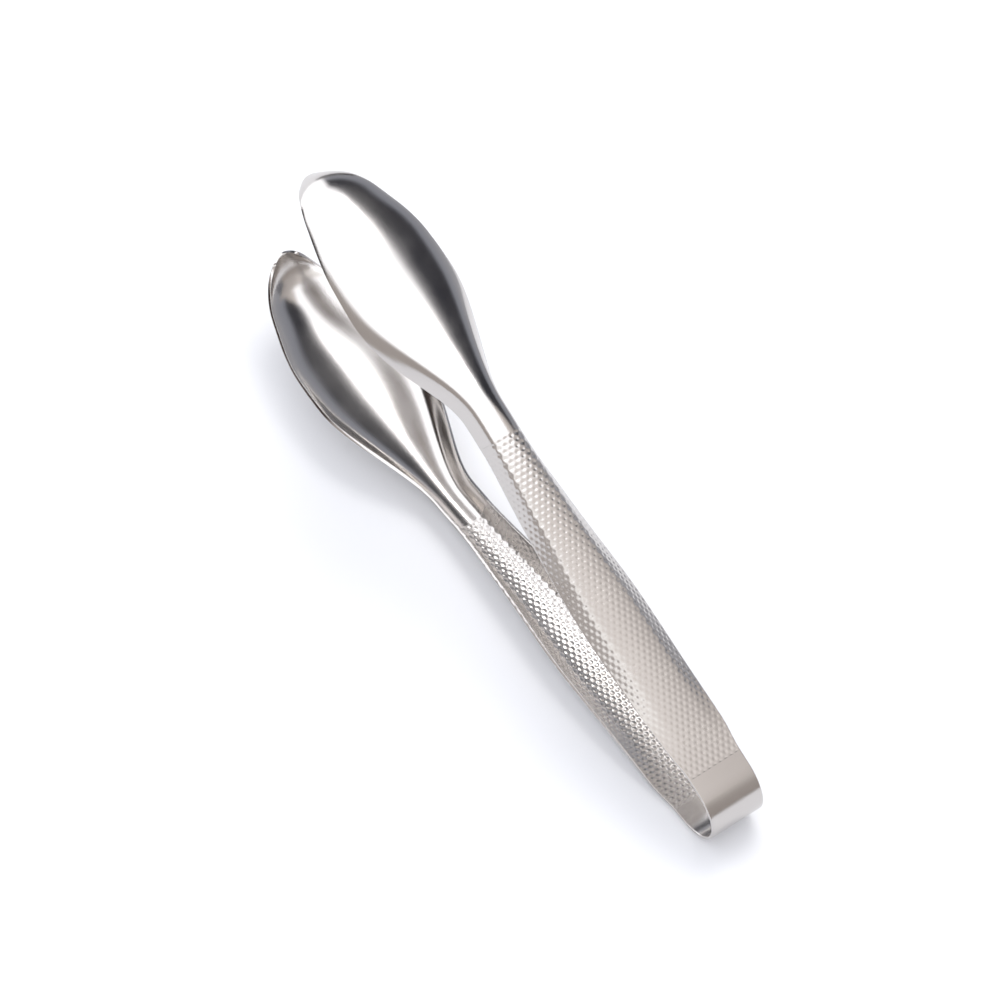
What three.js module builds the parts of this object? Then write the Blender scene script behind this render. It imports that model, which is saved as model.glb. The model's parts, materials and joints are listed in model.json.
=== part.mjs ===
// One-piece serving tongs: a stainless strip folded at a spring bow, with two grips and two spoon jaws.
// Millimetres and degrees. The folding frame has U along the mid-plane from bow to tips, Y across and
// V away from the mid-plane. The lower arm is the upper arm turned half a turn about U.
import * as THREE from "three";

// Strip
const sheetThickness = 1.0;
const zoneGap = 0.3;

// Spring bow and its smooth heels
const bowRadius = 12.6;
const bowSpreadAngle = 11.0;
const bowWidth = 19.0;
const heelLength = 5.0;

// Grips
const gripLength = 118.0;
const gripWidth = 22.0;
const gripRearInset = 0.5;
const gripFrontInset = 2.5;
const gripDomeHeight = 1.8;
const gripWallHeight = 3.3;
const gripLineAngle = 9.8;
const neckWidth = 13.5;
const neckDomeHeight = 2.0;
const neckWallHeight = 5.4;
const neckLineAngle = 15.4;

// Jaws
const jawLength = 108.0;
const jawWidth = 36.6;
const jawShoulderInset = 0.6;
const jawDomeHeight = 4.2;
const jawWallHeight = 4.4;
const jawBaseLineAngle = -1.0;
const jawLineAngle = 6.6;
const jawEndLineAngle = -13.0;
const tipLineAngle = -58.0;
const tipWidth = 19.0;
const tipDomeHeight = 1.5;
const tipWallHeight = 1.0;
const tipRoundLength = 19.5;
const tipFlatWidth = 9.0;

// Cross-section: a domed crown between two walls that begin at a crease
const gripCreaseShare = 0.6;
const neckCreaseShare = 0.74;
const jawCreaseShare = 0.78;
const tipCreaseShare = 0.9;
const wallCreaseSoftness = 0.1;

// Facets
const bowFacets = { along: 9, across: 2 };
const heelFacets = { along: 2, across: 2 };
const gripFacets = { along: 24, across: 10 };
const jawFacets = { along: 30, across: 12 };

const degree = Math.PI / 180;
const bowArcHalf = bowRadius * (90 - bowSpreadAngle) * degree;
const heelEnd = bowArcHalf + heelLength;
const gripEnd = heelEnd + gripLength;
const jawEnd = gripEnd + jawLength;

// A smooth curve through [position, value] stations that never overshoots them.
function smoothThrough(stations) {
  const slopes = stations.map((station, i) => {
    if (i === 0 || i === stations.length - 1) {
      return 0;
    }
    const before = (station[1] - stations[i - 1][1]) / (station[0] - stations[i - 1][0]);
    const after = (stations[i + 1][1] - station[1]) / (stations[i + 1][0] - station[0]);
    return before * after > 0 ? (2 * before * after) / (before + after) : 0;
  });
  return (position) => {
    const last = stations.length - 1;
    if (position <= stations[0][0]) {
      return stations[0][1];
    }
    if (position >= stations[last][0]) {
      return stations[last][1];
    }
    const i = stations.findIndex((station) => station[0] > position) - 1;
    const span = stations[i + 1][0] - stations[i][0];
    const x = (position - stations[i][0]) / span;
    const rise = stations[i + 1][1] - stations[i][1];
    const cubic = x * x * (3 - 2 * x) * rise;
    return stations[i][1] + cubic + span * x * (1 - x) * ((1 - x) * slopes[i] - x * slopes[i + 1]);
  };
}

const onGrip = (share) => heelEnd + share * gripLength;
const onJaw = (share) => gripEnd + share * jawLength;

// Angle of the crown line to the mid-plane, after the bow.
const crownAngle = smoothThrough([
  [heelEnd, bowSpreadAngle],
  [onGrip(0.45), gripLineAngle],
  [onGrip(0.9), neckLineAngle],
  [onGrip(1.0), neckLineAngle],
  [onJaw(0.25), jawBaseLineAngle],
  [onJaw(0.58), jawLineAngle],
  [onJaw(0.82), jawEndLineAngle],
  [jawEnd, tipLineAngle],
]);

const halfWidthOfStrip = smoothThrough([
  [heelEnd, bowWidth / 2],
  [onGrip(0.1), gripWidth / 2 - gripRearInset],
  [onGrip(0.45), gripWidth / 2],
  [onGrip(0.78), gripWidth / 2 - gripFrontInset],
  [onGrip(1.0), neckWidth / 2],
  [onJaw(0.08), neckWidth / 2],
  [onJaw(0.5), jawWidth / 2],
  [onJaw(0.62), jawWidth / 2 - jawShoulderInset],
  [jawEnd, tipWidth / 2],
]);

// How far the dome falls from the crown line to the rims.
const domeHeight = smoothThrough([
  [heelEnd, 0],
  [onGrip(0.3), gripDomeHeight],
  [onGrip(0.7), gripDomeHeight],
  [onGrip(1.0), neckDomeHeight],
  [onJaw(0.45), jawDomeHeight],
  [onJaw(0.75), jawDomeHeight],
  [jawEnd, tipDomeHeight],
]);

// How far the walls fall outside the creases.
const wallHeight = smoothThrough([
  [heelEnd, 0],
  [onGrip(0.25), gripWallHeight / 2],
  [onGrip(0.55), gripWallHeight],
  [onGrip(1.0), neckWallHeight],
  [onJaw(0.25), jawWallHeight],
  [onJaw(0.6), tipWallHeight],
  [jawEnd, 0],
]);

const creaseShare = smoothThrough([
  [heelEnd, gripCreaseShare],
  [onGrip(0.6), gripCreaseShare],
  [onGrip(1.0), neckCreaseShare],
  [onJaw(0.35), jawCreaseShare],
  [onJaw(0.7), tipCreaseShare],
  [jawEnd, tipCreaseShare],
]);

// The jaw's end is rounded: its half width closes on a flatter middle.
const closingShape = 2.2;
const roundStart = jawEnd - tipRoundLength;
const closingWidth = tipWidth / 2;
const flatShare = tipFlatWidth / 2 / closingWidth;
const sideEnd = roundStart + tipRoundLength * (1 - flatShare ** 2) ** (1 / closingShape);

function halfWidth(s) {
  const closing = Math.max(0, (s - roundStart) / tipRoundLength);
  return halfWidthOfStrip(s) * Math.sqrt(1 - Math.min(1, closing ** closingShape));
}

function tipBulge(across) {
  const cap = roundStart + tipRoundLength * (1 - (across * flatShare) ** 2) ** (1 / closingShape);
  return cap - sideEnd;
}

// The crown line, stepped along its length from the end of the bow's arc.
const lineStep = 0.25;
const crownLine = [];
let lineU = bowRadius * (1 - Math.sin(bowSpreadAngle * degree));
let lineV = bowRadius * Math.cos(bowSpreadAngle * degree);
for (let s = bowArcHalf; s < jawEnd + 2 * lineStep; s += lineStep) {
  crownLine.push([lineU, lineV]);
  const angle = crownAngle(s + lineStep / 2) * degree;
  lineU += lineStep * Math.cos(angle);
  lineV += lineStep * Math.sin(angle);
}

// Point and direction of the crown line at a length s from the bow's apex.
function crownAt(s) {
  if (s <= bowArcHalf) {
    const turn = s / bowRadius;
    const u = bowRadius * (1 - Math.cos(turn));
    const v = bowRadius * Math.sin(turn);
    return { u, v, angle: Math.PI / 2 - turn };
  }
  const place = (s - bowArcHalf) / lineStep;
  const i = Math.min(crownLine.length - 2, Math.floor(place));
  const u = THREE.MathUtils.lerp(crownLine[i][0], crownLine[i + 1][0], place - i);
  const v = THREE.MathUtils.lerp(crownLine[i][1], crownLine[i + 1][1], place - i);
  return { u, v, angle: crownAngle(s) * degree };
}

// Share of the wall's fall that is reached at a share across, 0 at the middle and 1 at the rims.
function wallShare(across, crease) {
  const ramp = (x) => (x + Math.hypot(x, wallCreaseSoftness)) / 2;
  const top = ramp(-crease);
  return (ramp(Math.abs(across) - crease) - top) / (ramp(1 - crease) - top);
}

// Middle of the sheet at length s and share across (-1 to 1), in the folding frame.
function sheetPoint(s, across) {
  const crown = crownAt(s);
  const drop = wallHeight(s) * wallShare(across, creaseShare(s)) + domeHeight(s) * across ** 2;
  const u = crown.u + drop * Math.sin(crown.angle);
  const v = crown.v - drop * Math.cos(crown.angle);
  return new THREE.Vector3(u, across * halfWidth(s), v);
}

// A zone of the strip from one length to another: a box bent onto the strip.
function zoneGeometry(from, to, facets, roundTip = false) {
  const geometry = new THREE.BoxGeometry(1, 2, sheetThickness, facets.along, facets.across, 1);
  const position = geometry.attributes.position;
  const nudge = 0.02;
  const place = (share, side) => {
    const s = from + share * (to - from);
    return roundTip ? s + tipBulge(side) * share ** 3 : s;
  };
  const surface = (share, side) => {
    const bulged = place(share, side);
    const point = sheetPoint(bulged, side);
    point.y = side * halfWidth(from + share * (to - from));
    return point;
  };
  for (let i = 0; i < position.count; i += 1) {
    const share = position.getX(i) + 0.5;
    const side = position.getY(i);
    const alongEdge = new THREE.Vector3().subVectors(
      surface(Math.min(1, share + nudge), side),
      surface(Math.max(0, share - nudge), side),
    );
    const acrossEdge = new THREE.Vector3().subVectors(
      surface(share, Math.min(1, side + nudge)),
      surface(share, Math.max(-1, side - nudge)),
    );
    const normal = alongEdge.cross(acrossEdge).normalize();
    const point = surface(share, side).addScaledVector(normal, position.getZ(i));
    position.setXYZ(i, point.x, point.y, point.z);
  }
  geometry.computeVertexNormals();
  return geometry;
}

const polishedSteel = new THREE.MeshStandardMaterial({ color: 0xcfcbc8, metalness: 1, roughness: 0.22 });
const grippedSteel = new THREE.MeshStandardMaterial({ color: 0xb8b3af, metalness: 1, roughness: 0.35 });

function zoneMesh(name, geometry, material) {
  const mesh = new THREE.Mesh(geometry, material.clone());
  mesh.name = name;
  return mesh;
}

// Zones of one arm, from the bow's apex to the jaw, each short of its neighbour by the gap.
const halfGap = zoneGap / 2;
function armZones(side) {
  const bend = zoneGeometry(halfGap, bowArcHalf - halfGap, bowFacets);
  const heel = zoneGeometry(bowArcHalf + halfGap, heelEnd - halfGap, heelFacets);
  const grip = zoneGeometry(heelEnd + halfGap, gripEnd - halfGap, gripFacets);
  const jaw = zoneGeometry(gripEnd + halfGap, sideEnd, jawFacets, true);
  return [
    zoneMesh(`bow_${side}_bend`, bend, polishedSteel),
    zoneMesh(`bow_${side}_heel`, heel, polishedSteel),
    zoneMesh(`${side}_grip`, grip, grippedSteel),
    zoneMesh(`${side}_jaw`, jaw, polishedSteel),
  ];
}

const tongs = new THREE.Group();
const upperArm = new THREE.Group();
upperArm.add(...armZones("upper"));
const lowerArm = new THREE.Group();
lowerArm.add(...armZones("lower"));
lowerArm.rotation.x = Math.PI;

tongs.add(upperArm, lowerArm);

// Lowest height of the lower arm's crown line between two lengths, with the mid-plane leaning up.
function lowestPoint(lean, from, to) {
  let lowest = Infinity;
  for (let s = from; s <= to; s += 1) {
    const crown = crownAt(s);
    lowest = Math.min(lowest, crown.u * Math.sin(lean) - crown.v * Math.cos(lean));
  }
  return lowest;
}

// The lean at which the bow and the arm beyond mid-grip both rest on the table.
function restingLean() {
  let low = 0;
  let high = 45 * degree;
  for (let i = 0; i < 40; i += 1) {
    const lean = (low + high) / 2;
    const bowIsLower = lowestPoint(lean, 0, onGrip(0.2)) < lowestPoint(lean, onGrip(0.6), jawEnd);
    if (bowIsLower) {
      high = lean;
    } else {
      low = lean;
    }
  }
  return (low + high) / 2;
}

tongs.rotation.y = -restingLean();
tongs.updateMatrixWorld(true);
const extent = new THREE.Box3().setFromObject(tongs, true);
const middle = extent.getCenter(new THREE.Vector3());
tongs.position.set(-middle.x, -middle.y, -extent.min.z);

const group = new THREE.Group();
group.add(tongs);
export default group;
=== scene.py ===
import json
import math

import bmesh
import bpy
import numpy as np
from mathutils import Matrix, Vector


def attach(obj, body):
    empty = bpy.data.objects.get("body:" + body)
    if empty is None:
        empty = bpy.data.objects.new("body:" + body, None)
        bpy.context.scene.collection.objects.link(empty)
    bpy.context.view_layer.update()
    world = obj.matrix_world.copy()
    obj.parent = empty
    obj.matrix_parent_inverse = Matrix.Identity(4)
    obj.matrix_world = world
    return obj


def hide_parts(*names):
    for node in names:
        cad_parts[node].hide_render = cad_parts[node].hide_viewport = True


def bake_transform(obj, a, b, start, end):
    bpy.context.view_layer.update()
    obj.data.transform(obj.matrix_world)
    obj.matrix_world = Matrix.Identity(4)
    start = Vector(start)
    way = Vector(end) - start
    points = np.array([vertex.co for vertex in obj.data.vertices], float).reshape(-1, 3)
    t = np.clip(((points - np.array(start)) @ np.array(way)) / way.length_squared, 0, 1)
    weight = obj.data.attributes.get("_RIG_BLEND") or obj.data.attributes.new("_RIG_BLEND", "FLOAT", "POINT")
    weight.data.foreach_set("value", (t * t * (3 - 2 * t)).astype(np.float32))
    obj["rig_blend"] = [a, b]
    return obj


# One-piece serving tongs of polished sheet steel, with dimpled grips and two spoon jaws.
# The strip is laid out in millimetres in its folding plane: U runs from the bow's apex to
# the tips on the mid-plane, Y across the strip and V away from the mid-plane.

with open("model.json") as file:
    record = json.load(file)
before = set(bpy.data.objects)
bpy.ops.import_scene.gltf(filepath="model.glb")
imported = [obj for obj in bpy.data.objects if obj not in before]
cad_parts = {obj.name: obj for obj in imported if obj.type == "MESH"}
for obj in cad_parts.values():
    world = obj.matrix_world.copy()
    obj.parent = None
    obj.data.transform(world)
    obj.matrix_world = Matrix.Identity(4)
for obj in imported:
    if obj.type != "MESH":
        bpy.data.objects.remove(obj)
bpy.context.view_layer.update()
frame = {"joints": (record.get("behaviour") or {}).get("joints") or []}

MM = 0.001
DEGREE = math.pi / 180

SHEET = 1.0
BOW_RADIUS = 12.6
BOW_SPREAD = 11.0
BOW_WIDTH = 19.0
HEEL = 5.0

GRIP = 118.0
GRIP_WIDTH = 22.0
GRIP_REAR_INSET = 0.5
GRIP_FRONT_INSET = 2.5
GRIP_DOME = 1.8
GRIP_WALL = 3.3
GRIP_LINE = 9.8
NECK_WIDTH = 13.5
NECK_DOME = 2.0
NECK_WALL = 5.4
NECK_LINE = 15.4

JAW = 108.0
JAW_WIDTH = 36.6
JAW_SHOULDER_INSET = 0.6
JAW_DOME = 4.2
JAW_WALL = 4.4
JAW_BASE_LINE = -1.0
JAW_LINE = 6.6
JAW_END_LINE = -13.0
TIP_LINE = -58.0
TIP_WIDTH = 19.0
TIP_DOME = 1.5
TIP_WALL = 1.0
TIP_ROUND = 19.5
TIP_FLAT = 9.0
CLOSING_SHAPE = 2.2
TIP_BLEND = 3

GRIP_CREASE = 0.6
NECK_CREASE = 0.74
JAW_CREASE = 0.78
TIP_CREASE = 0.9
CREASE_SOFTNESS = 0.1

ARC_HALF = BOW_RADIUS * (90 - BOW_SPREAD) * DEGREE
HEEL_END = ARC_HALF + HEEL
GRIP_END = HEEL_END + GRIP
JAW_END = GRIP_END + JAW

# Pressed dots of the grips
DOT_PITCH = 2.02
DOT_ROW = DOT_PITCH * math.sqrt(3) / 2
DOT_RADIUS = 0.87
DOT_DEPTH = 0.15
DOT_MARGIN = 0.75
DOT_END_FADE = 0.4
DOT_SHARPNESS = 1.5

# Rims
RIM_ROUND = 0.2
JAW_RIM_ROUND = 0.1
RIM_SEGMENTS = 3
RIM_ANGLE = 1.0
SMOOTH_ANGLE = 50 * DEGREE

# Grid counts along and across each zone, and the share of the rim's own cell
JAW_COLUMNS, JAW_ROWS, JAW_RIM_CELL = 190, 53, 0.08
GRIP_COLUMNS, GRIP_ROWS, GRIP_RIM_CELL = 501, 83, 0.045
BOW_COLUMNS, BOW_ROWS, BOW_RIM_CELL = 121, 29, 0.05


def smooth_through(stations):
    """A smooth curve through (place, value) stations that never overshoots them."""
    places = np.array([place for place, _ in stations])
    values = np.array([value for _, value in stations])
    steps, rises = np.diff(places), np.diff(values)
    slopes = np.zeros(len(places))
    for i in range(1, len(places) - 1):
        before, after = rises[i - 1] / steps[i - 1], rises[i] / steps[i]
        if before * after > 0:
            slopes[i] = 2 * before * after / (before + after)

    def curve(place):
        place = np.clip(place, places[0], places[-1])
        i = np.clip(np.searchsorted(places, place, side="right") - 1, 0, len(steps) - 1)
        x = (place - places[i]) / steps[i]
        lift = x * x * (3 - 2 * x) * rises[i]
        bow = steps[i] * x * (1 - x) * ((1 - x) * slopes[i] - x * slopes[i + 1])
        return values[i] + lift + bow

    return curve


def on_grip(share):
    return HEEL_END + share * GRIP


def on_jaw(share):
    return GRIP_END + share * JAW


crown_angle = smooth_through([
    (HEEL_END, BOW_SPREAD), (on_grip(0.45), GRIP_LINE), (on_grip(0.9), NECK_LINE),
    (on_grip(1.0), NECK_LINE), (on_jaw(0.25), JAW_BASE_LINE), (on_jaw(0.58), JAW_LINE),
    (on_jaw(0.82), JAW_END_LINE), (JAW_END, TIP_LINE),
])
strip_half_width = smooth_through([
    (HEEL_END, BOW_WIDTH / 2), (on_grip(0.1), GRIP_WIDTH / 2 - GRIP_REAR_INSET),
    (on_grip(0.45), GRIP_WIDTH / 2), (on_grip(0.78), GRIP_WIDTH / 2 - GRIP_FRONT_INSET),
    (on_grip(1.0), NECK_WIDTH / 2), (on_jaw(0.08), NECK_WIDTH / 2),
    (on_jaw(0.5), JAW_WIDTH / 2), (on_jaw(0.62), JAW_WIDTH / 2 - JAW_SHOULDER_INSET),
    (JAW_END, TIP_WIDTH / 2),
])
dome_height = smooth_through([
    (HEEL_END, 0), (on_grip(0.3), GRIP_DOME), (on_grip(0.7), GRIP_DOME),
    (on_grip(1.0), NECK_DOME), (on_jaw(0.45), JAW_DOME), (on_jaw(0.75), JAW_DOME),
    (JAW_END, TIP_DOME),
])
wall_height = smooth_through([
    (HEEL_END, 0), (on_grip(0.25), GRIP_WALL / 2), (on_grip(0.55), GRIP_WALL),
    (on_grip(1.0), NECK_WALL), (on_jaw(0.25), JAW_WALL), (on_jaw(0.6), TIP_WALL),
    (JAW_END, 0),
])
crease_share = smooth_through([
    (HEEL_END, GRIP_CREASE), (on_grip(0.6), GRIP_CREASE), (on_grip(1.0), NECK_CREASE),
    (on_jaw(0.35), JAW_CREASE), (on_jaw(0.7), TIP_CREASE), (JAW_END, TIP_CREASE),
])

ROUND_START = JAW_END - TIP_ROUND
FLAT_SHARE = TIP_FLAT / TIP_WIDTH
SIDE_END = ROUND_START + TIP_ROUND * (1 - FLAT_SHARE**2) ** (1 / CLOSING_SHAPE)


def half_width(place):
    closing = np.clip((place - ROUND_START) / TIP_ROUND, 0, 1)
    return strip_half_width(place) * np.sqrt(1 - closing**CLOSING_SHAPE)


def tip_bulge(across):
    cap = TIP_ROUND * (1 - (across * FLAT_SHARE) ** 2) ** (1 / CLOSING_SHAPE)
    return ROUND_START + cap - SIDE_END


LINE_STEP = 0.25
line_places = np.arange(ARC_HALF, JAW_END + 2 * LINE_STEP, LINE_STEP)
line_angles = crown_angle(line_places + LINE_STEP / 2) * DEGREE
line_u = BOW_RADIUS * (1 - math.sin(BOW_SPREAD * DEGREE)) + np.concatenate(
    [[0], np.cumsum(LINE_STEP * np.cos(line_angles))[:-1]])
line_v = BOW_RADIUS * math.cos(BOW_SPREAD * DEGREE) + np.concatenate(
    [[0], np.cumsum(LINE_STEP * np.sin(line_angles))[:-1]])


def crown_at(place):
    """U, V and direction of the crown line at a length from the bow's apex."""
    turn = np.minimum(place, ARC_HALF) / BOW_RADIUS
    on_arc = place <= ARC_HALF
    u = np.where(on_arc, BOW_RADIUS * (1 - np.cos(turn)), np.interp(place, line_places, line_u))
    v = np.where(on_arc, BOW_RADIUS * np.sin(turn), np.interp(place, line_places, line_v))
    angle = np.where(on_arc, math.pi / 2 - turn, crown_angle(place) * DEGREE)
    return u, v, angle


def wall_share(across, crease):
    def ramp(x):
        return (x + np.hypot(x, CREASE_SOFTNESS)) / 2

    top = ramp(-crease)
    return (ramp(np.abs(across) - crease) - top) / (ramp(1 - crease) - top)


def sheet_middle(place, across, width_place):
    """Middle of the sheet in the folding plane, for arrays of places and shares across."""
    along = np.abs(place)
    u, v, angle = crown_at(along)
    drop = wall_height(along) * wall_share(across, crease_share(along))
    drop = drop + dome_height(along) * across**2
    point = np.stack([
        u + drop * np.sin(angle), across * half_width(np.abs(width_place)),
        v - drop * np.cos(angle)], axis=-1)
    point[..., 2] *= np.where(place < 0, -1, 1)
    return point


# How the folding plane stands on the table: the bow and the arm beyond mid-grip both rest.
def lowest_point(lean, start, end):
    u, v, _ = crown_at(np.arange(start, end, 1.0))
    return (u * math.sin(lean) - v * math.cos(lean)).min()


STEEPEST_LEAN = 45 * DEGREE
HALVINGS = 40


def resting_lean():
    low, high = 0.0, STEEPEST_LEAN
    for _ in range(HALVINGS):
        lean = (low + high) / 2
        if lowest_point(lean, 0, on_grip(0.2)) < lowest_point(lean, on_grip(0.6), JAW_END):
            high = lean
        else:
            low = lean
    return (low + high) / 2


LEAN = resting_lean()
ALONG = np.array([math.cos(LEAN), 0, math.sin(LEAN)])
AWAY = np.array([-math.sin(LEAN), 0, math.cos(LEAN)])
SIDE = np.array([0.0, 1, 0])
fold = BOW_RADIUS * (1 - math.sin(ARC_HALF / BOW_RADIUS) / (ARC_HALF / BOW_RADIUS))
APEX = np.array(frame["joints"][0]["pos_m"]) - fold * MM * ALONG


def stand(points):
    """Points of the folding plane, in millimetres, to the row frame in metres."""
    return APEX + MM * (points[..., :1] * ALONG + points[..., 1:2] * SIDE
                        + points[..., 2:] * AWAY)


def unit(vectors):
    return vectors / np.linalg.norm(vectors, axis=-1, keepdims=True)


def deselect():
    bpy.ops.object.select_all(action="DESELECT")


def add_modifier(piece, kind, **settings):
    bpy.context.view_layer.objects.active = piece
    modifier = piece.modifiers.new(kind.title(), kind)
    for key, value in settings.items():
        setattr(modifier, key, value)
    bpy.ops.object.modifier_apply(modifier=modifier.name)


def sheet_piece(name, places, shares, round_tip=False, dots=False, arm=1, rim_round=RIM_ROUND):
    """A zone of the strip: a grid laid on it, given the sheet's thickness, its rims rounded."""
    deselect()
    columns, rows = len(places) - 1, len(shares) - 1
    bpy.ops.mesh.primitive_grid_add(x_subdivisions=columns, y_subdivisions=rows, size=2)
    piece = bpy.context.object
    piece.name = piece.data.name = name
    count = len(piece.data.vertices)
    flat = np.zeros(count * 3)
    piece.data.vertices.foreach_get("co", flat)
    flat = flat.reshape(-1, 3)
    column = np.rint((flat[:, 0] + 1) / 2 * columns).astype(int)
    row = np.rint((flat[:, 1] + 1) / 2 * rows).astype(int)

    place, across = np.meshgrid(places, shares, indexing="ij")
    width_place = place
    if round_tip:
        share = (place - places[0]) / (places[-1] - places[0])
        place = place + tip_bulge(across) * share**TIP_BLEND
    points = sheet_middle(place, across, width_place)
    if dots:
        points = press_dots(points, place)
    if arm < 0:
        points[..., 1:] *= -1
    world = stand(points)[column, row]
    piece.data.vertices.foreach_set("co", world.ravel())
    ends = np.isin(column, [0] if round_tip else [0, columns])
    seam = piece.data.attributes.new("seam", "FLOAT", "POINT")
    seam.data.foreach_set("value", ends.astype(np.float32))
    piece.data.update()

    add_modifier(piece, "SOLIDIFY", thickness=SHEET * MM, offset=0, use_even_offset=False)
    round_rims(piece, rim_round)
    bpy.ops.object.shade_smooth_by_angle(angle=SMOOTH_ANGLE)
    return piece


def round_rims(piece, radius):
    """Rounds the rims of a sheet, and leaves alone the ends where it meets its neighbour."""
    deselect()
    piece.select_set(True)
    bpy.context.view_layer.objects.active = piece
    bpy.ops.object.mode_set(mode="EDIT")
    bpy.ops.mesh.select_all(action="DESELECT")
    bpy.ops.mesh.select_mode(type="EDGE")
    shell = bmesh.from_edit_mesh(piece.data)
    seam = shell.verts.layers.float["seam"]
    for edge in shell.edges:
        at_seam = all(corner[seam] > 0.5 for corner in edge.verts)
        sharp = len(edge.link_faces) == 2 and edge.calc_face_angle() > RIM_ANGLE
        edge.select_set(sharp and not at_seam)
    bmesh.update_edit_mesh(piece.data)
    bpy.ops.mesh.bevel(offset=radius * MM, offset_type="OFFSET", segments=RIM_SEGMENTS,
                       affect="EDGES", clamp_overlap=True)
    bpy.ops.mesh.select_all(action="SELECT")
    bpy.ops.mesh.normals_make_consistent(inside=False)
    bpy.ops.object.mode_set(mode="OBJECT")
    piece.data.attributes.remove(piece.data.attributes["seam"])


def press_dots(points, place):
    """Presses the staggered round dots inwards through the middle of the sheet."""
    middle = points.shape[1] // 2
    steps = np.linalg.norm(np.diff(points, axis=1), axis=-1)
    across = np.concatenate([np.zeros((len(points), 1)), np.cumsum(steps, axis=1)], axis=1)
    rim = np.minimum(across, across[:, -1:] - across)
    across = across - across[:, middle:middle + 1]
    from_end = np.minimum(place - place.min(), place.max() - place)
    length = place - place.min()

    row = np.rint(length / DOT_ROW)
    nearest = np.full(place.shape, np.inf)
    for other in (-1, 0, 1):
        dot_row = row + other
        shift = np.where(dot_row % 2 == 0, 0, 0.5)
        dot = (np.rint(across / DOT_PITCH - shift) + shift) * DOT_PITCH
        away = np.hypot(across - dot, length - dot_row * DOT_ROW)
        nearest = np.minimum(nearest, away)
    share = np.clip(nearest / DOT_RADIUS, 0, 1)
    depth = DOT_DEPTH * (1 - share**2) ** DOT_SHARPNESS
    depth = depth * np.clip((rim - DOT_MARGIN / 2) / (DOT_MARGIN / 2), 0, 1)
    depth = depth * np.clip(from_end / DOT_END_FADE, 0, 1)

    along_edge = unit(np.gradient(points, axis=0))
    across_edge = unit(np.gradient(points, axis=1))
    outward = unit(np.cross(along_edge, across_edge))
    return points - outward * depth[..., None]


# Materials
STEEL_COLOUR = (0.58, 0.555, 0.535)
CLOUD_SCALE, CLOUD_DETAIL = 90, 5
CLOUD_LOW, CLOUD_HIGH = 0.3, 0.7
GLOSS_SPREAD = 0.03
GRAIN_SCALE, GRAIN_DETAIL = 2500, 3
GRAIN_STRENGTH = 0.35


def steel(name, roughness, grain_height):
    """Polished steel: slightly uneven gloss and a very fine grain, its height in metres."""
    material = bpy.data.materials.new(name)
    material.use_nodes = True
    nodes, links = material.node_tree.nodes, material.node_tree.links
    shader = nodes["Principled BSDF"]
    shader.inputs["Base Color"].default_value = (*STEEL_COLOUR, 1)
    shader.inputs["Metallic"].default_value = 1
    place = nodes.new("ShaderNodeTexCoord")
    cloud = nodes.new("ShaderNodeTexNoise")
    cloud.inputs["Scale"].default_value = CLOUD_SCALE
    cloud.inputs["Detail"].default_value = CLOUD_DETAIL
    gloss = nodes.new("ShaderNodeMapRange")
    gloss.inputs["From Min"].default_value = CLOUD_LOW
    gloss.inputs["From Max"].default_value = CLOUD_HIGH
    gloss.inputs["To Min"].default_value = roughness - GLOSS_SPREAD
    gloss.inputs["To Max"].default_value = roughness + GLOSS_SPREAD
    fine = nodes.new("ShaderNodeTexNoise")
    fine.inputs["Scale"].default_value = GRAIN_SCALE
    fine.inputs["Detail"].default_value = GRAIN_DETAIL
    bump = nodes.new("ShaderNodeBump")
    bump.inputs["Strength"].default_value = GRAIN_STRENGTH
    bump.inputs["Distance"].default_value = grain_height
    links.new(place.outputs["Object"], cloud.inputs["Vector"])
    links.new(cloud.outputs["Fac"], gloss.inputs["Value"])
    links.new(gloss.outputs["Result"], shader.inputs["Roughness"])
    links.new(place.outputs["Object"], fine.inputs["Vector"])
    links.new(fine.outputs["Fac"], bump.inputs["Height"])
    links.new(bump.outputs["Normal"], shader.inputs["Normal"])
    return material


polished = steel("polished sheet steel", 0.16, 0.00006)
dimpled = steel("dimpled grip steel", 0.26, 0.00003)


def dress(piece, material, slot, body, *nodes):
    piece.data.materials.clear()
    piece.data.materials.append(material)
    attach(piece, body)
    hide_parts(*nodes)


# The pieces
def rim_spaced(count, last):
    """Shares across a sheet, evenly spaced but for one wider cell at each rim."""
    inner = np.linspace(-1 + last, 1 - last, count)
    return np.concatenate([[-1], inner, [1]])


jaw_places = np.linspace(GRIP_END, SIDE_END, JAW_COLUMNS)
grip_places = np.linspace(HEEL_END, GRIP_END, GRIP_COLUMNS)
bow_places = np.linspace(-HEEL_END, HEEL_END, BOW_COLUMNS)
for arm, body in ((1, "upper_arm"), (-1, "lower_arm")):
    side = body.split("_")[0]
    jaw = sheet_piece(f"{side}-spoon-jaw", jaw_places, rim_spaced(JAW_ROWS, JAW_RIM_CELL),
                      round_tip=True, arm=arm, rim_round=JAW_RIM_ROUND)
    dress(jaw, polished, "polished_steel", body, f"{side}_jaw")
    grip = sheet_piece(f"{side}-dimpled-grip", grip_places,
                       rim_spaced(GRIP_ROWS, GRIP_RIM_CELL), dots=True, arm=arm)
    dress(grip, dimpled, "dimpled_steel", body, f"{side}_grip")

bow = sheet_piece("spring-bow", bow_places, rim_spaced(BOW_ROWS, BOW_RIM_CELL))
bow.data.materials.clear()
bow.data.materials.append(polished)
arc_end = BOW_RADIUS * math.cos(BOW_SPREAD * DEGREE)
bend_start = stand(np.array([0.0, 0, -arc_end]))
bend_end = stand(np.array([0.0, 0, arc_end]))
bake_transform(bow, "lower_arm", "upper_arm", start=tuple(bend_start), end=tuple(bend_end))
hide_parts("bow_lower_heel", "bow_lower_bend", "bow_upper_bend", "bow_upper_heel")


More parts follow.
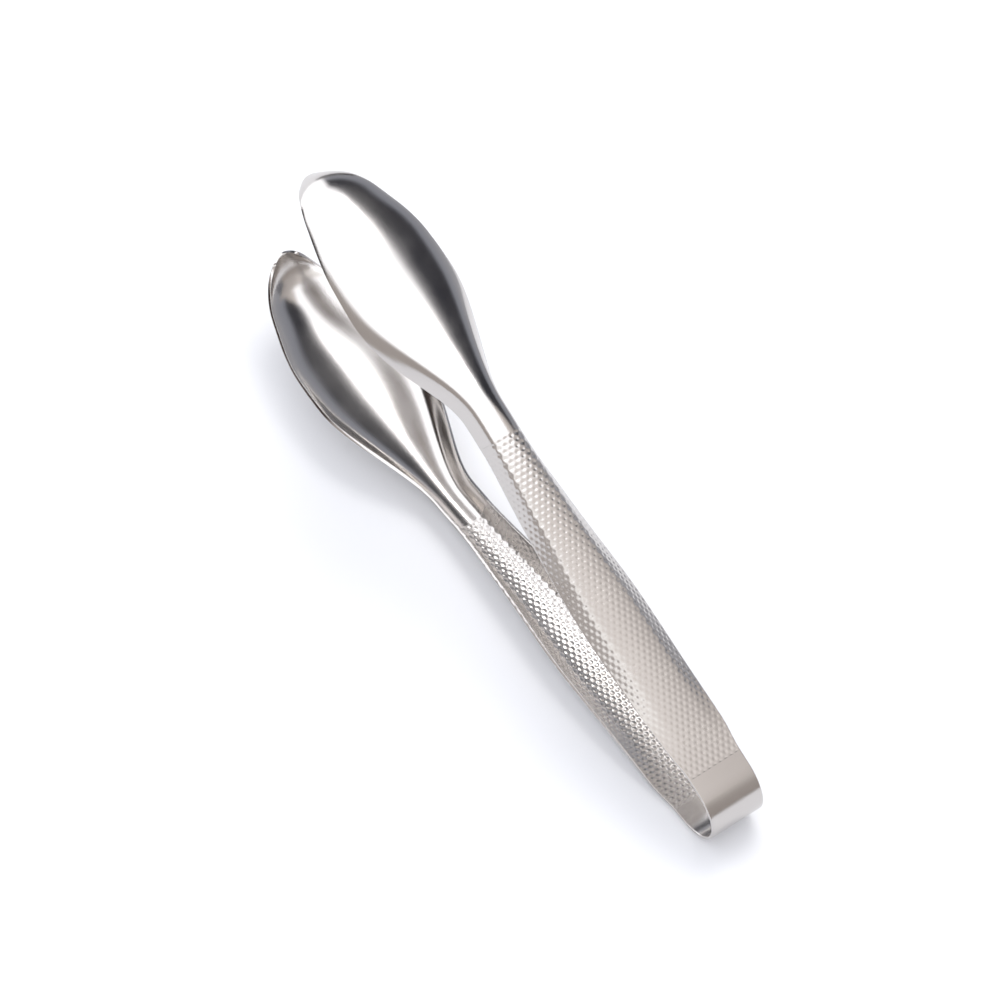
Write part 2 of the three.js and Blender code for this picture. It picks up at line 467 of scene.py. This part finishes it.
# Studio: a pale table, boards that only reflections see, a soft key light and a white room
TABLE_SIZE = 8
TABLE_DROP = 0.0002
TABLE_COLOUR = (0.86, 0.86, 0.87)
TABLE_ROUGHNESS = 0.6


def lay_table():
    deselect()
    bpy.ops.mesh.primitive_plane_add(size=TABLE_SIZE, location=(0, 0, -TABLE_DROP))
    piece = bpy.context.object
    piece.name = "table"
    material = bpy.data.materials.new("white table")
    material.use_nodes = True
    shader = material.node_tree.nodes["Principled BSDF"]
    shader.inputs["Base Color"].default_value = (*TABLE_COLOUR, 1)
    shader.inputs["Roughness"].default_value = TABLE_ROUGHNESS
    piece.data.materials.append(material)


def flag(name, corner, span, rise, tones):
    """A glowing board that only reflections see, with tones at shares of its rise."""
    deselect()
    bpy.ops.mesh.primitive_plane_add(size=1)
    piece = bpy.context.object
    piece.name = name
    corner, span, rise = Vector(corner), Vector(span), Vector(rise)
    for vertex in piece.data.vertices:
        share_span, share_rise = vertex.co.x + 0.5, vertex.co.y + 0.5
        vertex.co = corner + span * share_span + rise * share_rise
    material = bpy.data.materials.new(name)
    material.use_nodes = True
    nodes, links = material.node_tree.nodes, material.node_tree.links
    nodes.remove(nodes["Principled BSDF"])
    place = nodes.new("ShaderNodeTexCoord")
    share = nodes.new("ShaderNodeVectorMath")
    share.operation = "DOT_PRODUCT"
    share.inputs[1].default_value = rise / rise.length_squared
    base = nodes.new("ShaderNodeMath")
    base.operation = "SUBTRACT"
    base.inputs[1].default_value = corner.dot(rise) / rise.length_squared
    ramp = nodes.new("ShaderNodeValToRGB")
    ramp.color_ramp.interpolation = "EASE"
    stops = ramp.color_ramp.elements
    while len(stops) < len(tones):
        stops.new(0.5)
    for stop, (position, tone) in zip(stops, tones):
        stop.position = position
        stop.color = (*tone, 1)
    glow = nodes.new("ShaderNodeEmission")
    links.new(place.outputs["Object"], share.inputs[0])
    links.new(share.outputs["Value"], base.inputs[0])
    links.new(base.outputs["Value"], ramp.inputs["Fac"])
    links.new(ramp.outputs["Color"], glow.inputs["Color"])
    links.new(glow.outputs["Emission"], nodes["Material Output"].inputs["Surface"])
    piece.data.materials.append(material)
    piece.visible_camera = piece.visible_diffuse = piece.visible_shadow = False
    piece.visible_transmission = piece.visible_volume_scatter = False


lay_table()
WHITE = (2.0, 2.03, 2.12)
flag("dark_flag_right_of_jaws", (-0.10, -0.25, 0), (0.88, 0, 0), (0, 0, 0.60),
     [(0, (0.50, 0.51, 0.55)), (0.29, (0.36, 0.38, 0.44)), (0.38, (0.04, 0.04, 0.05)),
      (0.6, (0.02, 0.022, 0.035)), (0.76, (0.22, 0.22, 0.24)), (1, WHITE)])
flag("dark_flag_low_beyond_jaws", (0.32, -0.24, 0), (0.6, 0, 0), (0, 0, 0.075),
     [(0, (0.05, 0.035, 0.03)), (0.8, (0.03, 0.022, 0.02)), (1, (0.12, 0.11, 0.11))])
flag("grey_flag_right_of_grips", (-0.32, -0.25, 0), (0.22, 0, 0), (0, 0, 0.50),
     [(0, (0.28, 0.28, 0.31)), (0.26, (0.18, 0.19, 0.22)), (0.36, (0.66, 0.62, 0.60)),
      (0.8, (0.90, 0.85, 0.82)), (1, WHITE)])
flag("dark_flag_left_of_jaws", (0.13, 0.25, 0), (0.5, 0, 0), (0, 0, 0.30),
     [(0, (0.10, 0.075, 0.07)), (0.5, (0.045, 0.033, 0.03)), (0.7, (0.05, 0.04, 0.035)),
      (1, WHITE)])
flag("grey_flag_over_grips", (-0.255, -0.3, 0.13), (0.22, 0, 0), (0, 0.42, 0),
     [(0, (0.48, 0.45, 0.44)), (0.5, (0.66, 0.62, 0.60)), (0.72, (1.05, 1.0, 0.98)),
      (1, (1.5, 1.5, 1.5))])
flag("grey_flag_behind_bow", (-0.255, -0.3, 0), (0, 0.42, 0), (0, 0, 0.13),
     [(0, (0.42, 0.38, 0.36)), (0.5, (0.48, 0.44, 0.42)), (1, (0.66, 0.62, 0.60))])


def key_light(position, size, power, colour):
    """A square soft light that looks at the middle of the tongs."""
    light = bpy.data.lights.new("key_softbox", "AREA")
    light.size = size
    light.energy = power
    light.color = colour
    lamp = bpy.data.objects.new("key_softbox", light)
    bpy.context.scene.collection.objects.link(lamp)
    lamp.location = position
    lamp.rotation_euler = (-Vector(position)).to_track_quat("-Z", "Y").to_euler()


key_light((0.42, -0.62, 1.30), 0.8, 7, (1.0, 0.985, 0.96))

# The room that reflections see: white overhead and beyond the tips, grey low down on both
# sides. The table's light and the backdrop come from the plain fill.
LOW_GREY = (0.46, 0.43, 0.42)
DARK_GREY = (0.16, 0.16, 0.18)
LEFT_GREY = (0.55, 0.51, 0.49)
FILL_COLOUR = (0.96, 0.98, 1.04)
FILL_STRENGTH = 1.06
MIX_SHARE, MIX_UNDER, MIX_OVER, MIX_RESULT = 0, 6, 7, 2
world = bpy.data.worlds.new("studio room")
bpy.context.scene.world = world
world.use_nodes = True
room, wires = world.node_tree.nodes, world.node_tree.links
look = room.new("ShaderNodeTexCoord")
split = room.new("ShaderNodeSeparateXYZ")
wires.new(look.outputs["Generated"], split.inputs["Vector"])


def fade(axis, start, end):
    """0 at one value of a direction's component, 1 at another, smoothly between."""
    node = room.new("ShaderNodeMapRange")
    node.interpolation_type = "SMOOTHSTEP"
    node.inputs["From Min"].default_value = start
    node.inputs["From Max"].default_value = end
    wires.new(split.outputs[axis], node.inputs["Value"])
    return node.outputs["Result"]


def both(first, second):
    """The product of two shares."""
    node = room.new("ShaderNodeMath")
    node.operation = "MULTIPLY"
    wires.new(first, node.inputs[0])
    wires.new(second, node.inputs[1])
    return node.outputs["Value"]


def painted(under, colour, share):
    """A colour laid over another by a share."""
    node = room.new("ShaderNodeMix")
    node.data_type = "RGBA"
    wires.new(share, node.inputs[MIX_SHARE])
    if isinstance(under, tuple):
        node.inputs[MIX_UNDER].default_value = (*under, 1)
    else:
        wires.new(under, node.inputs[MIX_UNDER])
    node.inputs[MIX_OVER].default_value = (*colour, 1)
    return node.outputs[MIX_RESULT]


low_right = both(fade("Y", -0.52, -0.80), fade("X", 0.8, 0.5))
low_left = both(fade("Y", 0.66, 0.86), fade("X", 0.8, 0.5))
sky = painted(WHITE, LOW_GREY, low_right)
sky = painted(sky, DARK_GREY, both(low_right, fade("X", -0.16, -0.02)))
sky = painted(sky, LEFT_GREY, low_left)
wires.new(sky, room["Background"].inputs["Color"])
fill = room.new("ShaderNodeBackground")
fill.inputs["Color"].default_value = (*FILL_COLOUR, 1)
fill.inputs["Strength"].default_value = FILL_STRENGTH
path = room.new("ShaderNodeLightPath")
choose = room.new("ShaderNodeMixShader")
backdrop = room.new("ShaderNodeMath")
backdrop.operation = "ADD"
wires.new(path.outputs["Is Diffuse Ray"], backdrop.inputs[0])
wires.new(path.outputs["Is Camera Ray"], backdrop.inputs[1])
wires.new(backdrop.outputs["Value"], choose.inputs["Fac"])
wires.new(room["Background"].outputs["Background"], choose.inputs[1])
wires.new(fill.outputs["Background"], choose.inputs[2])
wires.new(choose.outputs["Shader"], room["World Output"].inputs["Surface"])

# Camera
CAMERA_AZIMUTH, CAMERA_ELEVATION, CAMERA_ROLL = -3.8178, 1.0287, -0.0475
CAMERA_DISTANCE, CAMERA_LENS, SENSOR = 3.940, 464.9, 36.0
AIM = Vector((0.002773, 0.0, 0.030481))
AIM_RIGHT, AIM_UP = -0.00082, 0.00287
back = Vector((math.cos(CAMERA_ELEVATION) * math.cos(CAMERA_AZIMUTH),
               math.cos(CAMERA_ELEVATION) * math.sin(CAMERA_AZIMUTH),
               math.sin(CAMERA_ELEVATION)))
level_right = (-back).cross(Vector((0, 0, 1))).normalized()
level_up = level_right.cross(-back)
right = level_right * math.cos(CAMERA_ROLL) - level_up * math.sin(CAMERA_ROLL)
up = level_right * math.sin(CAMERA_ROLL) + level_up * math.cos(CAMERA_ROLL)
camera_data = bpy.data.cameras.new("camera")
camera_data.lens, camera_data.sensor_width = CAMERA_LENS, SENSOR
camera_data.clip_start, camera_data.clip_end = 0.1, 20
camera = bpy.data.objects.new("camera", camera_data)
bpy.context.scene.collection.objects.link(camera)
spot = AIM + back * CAMERA_DISTANCE + right * AIM_RIGHT + up * AIM_UP
camera.matrix_world = Matrix((
    (right.x, up.x, back.x, spot.x), (right.y, up.y, back.y, spot.y),
    (right.z, up.z, back.z, spot.z), (0, 0, 0, 1)))
bpy.context.scene.camera = camera
bpy.context.scene.view_settings.view_transform = "Standard"
